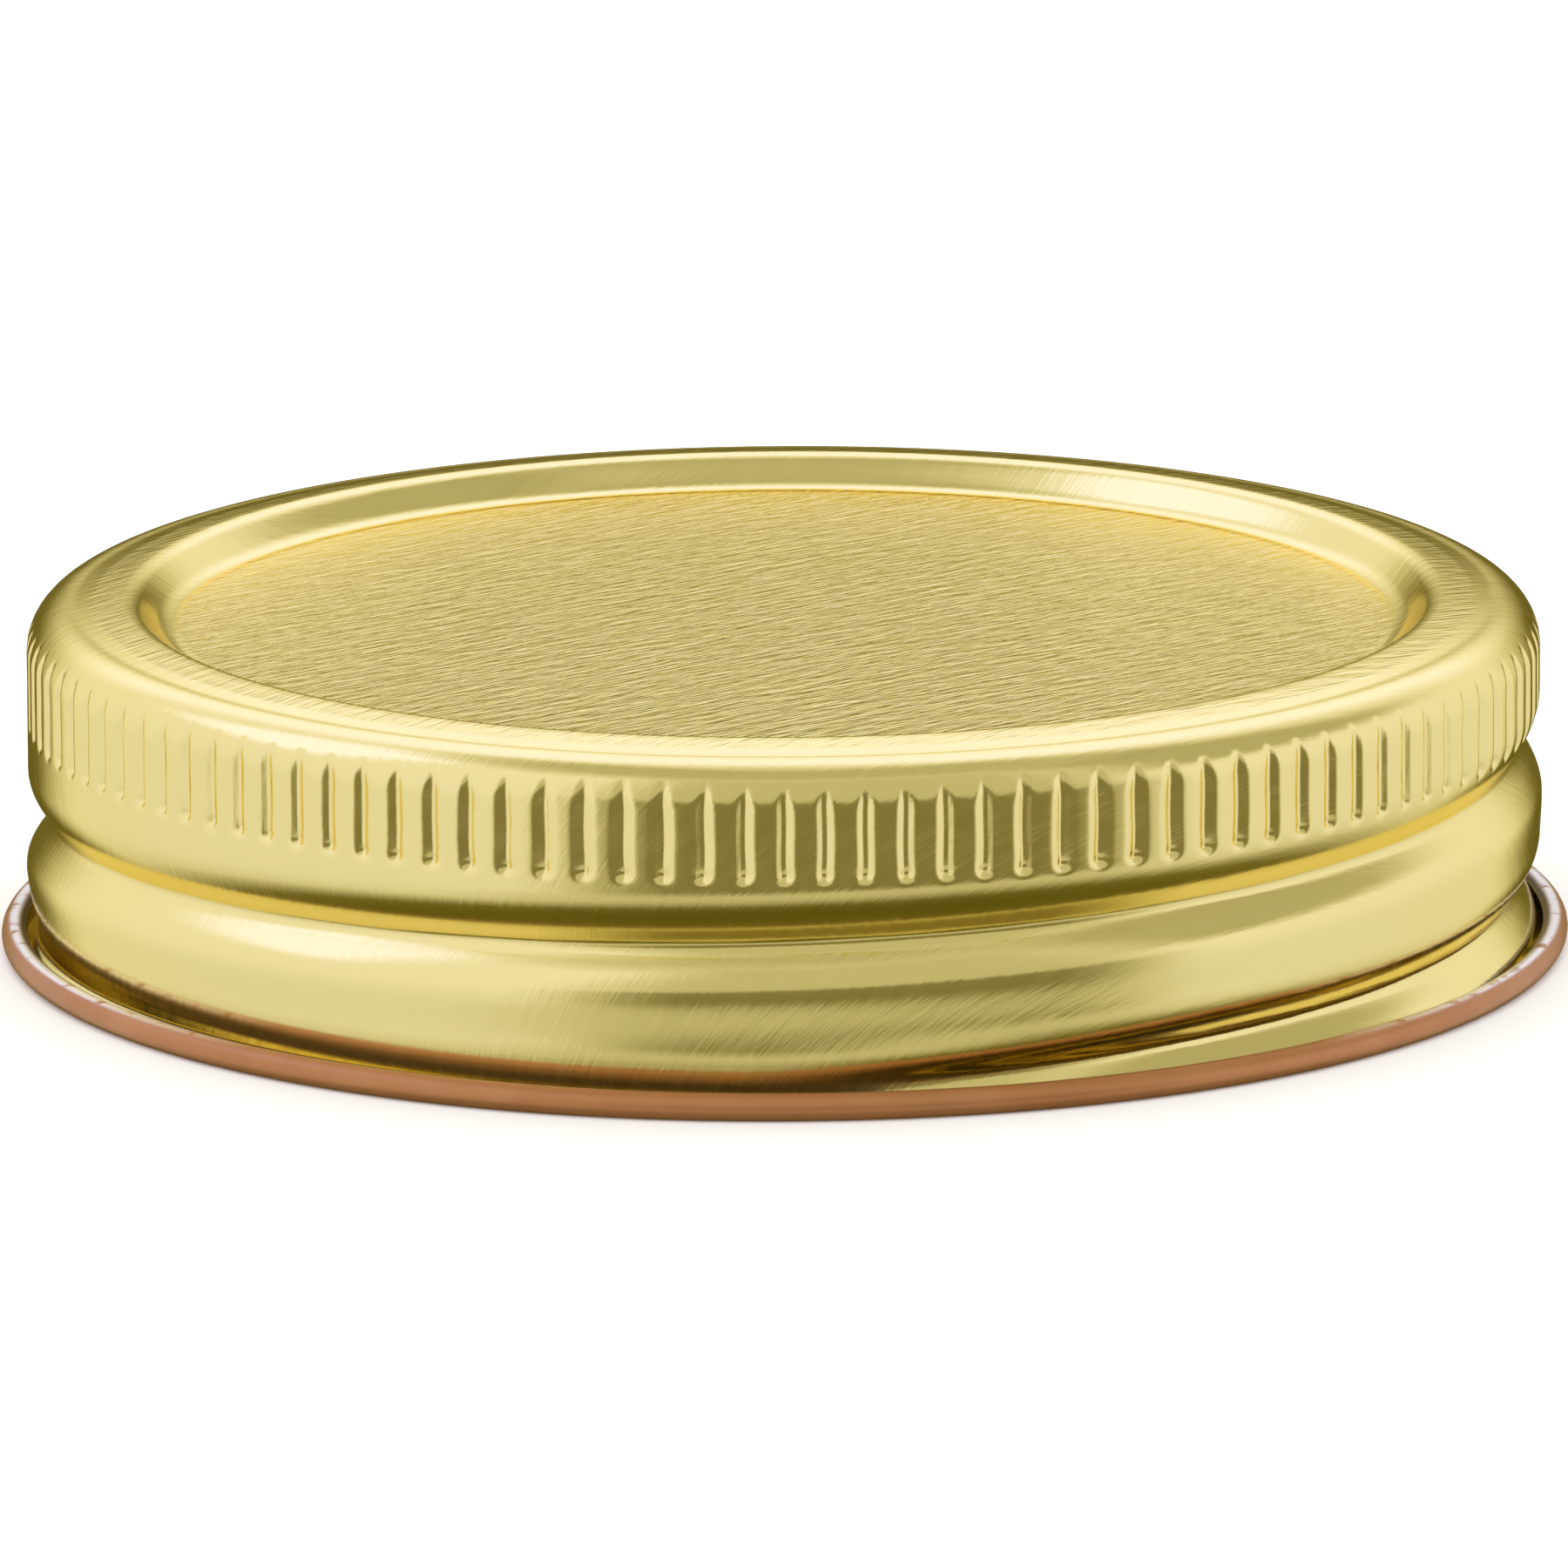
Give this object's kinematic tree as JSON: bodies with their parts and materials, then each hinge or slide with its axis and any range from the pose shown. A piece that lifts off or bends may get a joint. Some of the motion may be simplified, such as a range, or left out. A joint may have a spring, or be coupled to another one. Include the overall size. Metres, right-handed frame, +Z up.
{
  "type": "mason jar lid",
  "caption": "Round one-piece metal screw lid for a preserving jar, with a recessed top, knurled grip, rolled thread, outward curl and a flowed-in sealing ring.",
  "frame": {"origin": "centre of the base, at the height of the surface that the curl stands on", "axes": "+Z up along the lid's axis, out of its top; +X and +Y lie in the base, and -Y is the side seen first"},
  "size_m": [0.072, 0.072, 0.0163],
  "materials": {
    "gold_lacquered_tinplate": "brushed, clear gold lacquer",
    "plastisol": "matt"
  },
  "bodies": {
    "root": {"lid_shell": "gold_lacquered_tinplate", "sealing_ring": "plastisol"}
  },
  "joints": []
}
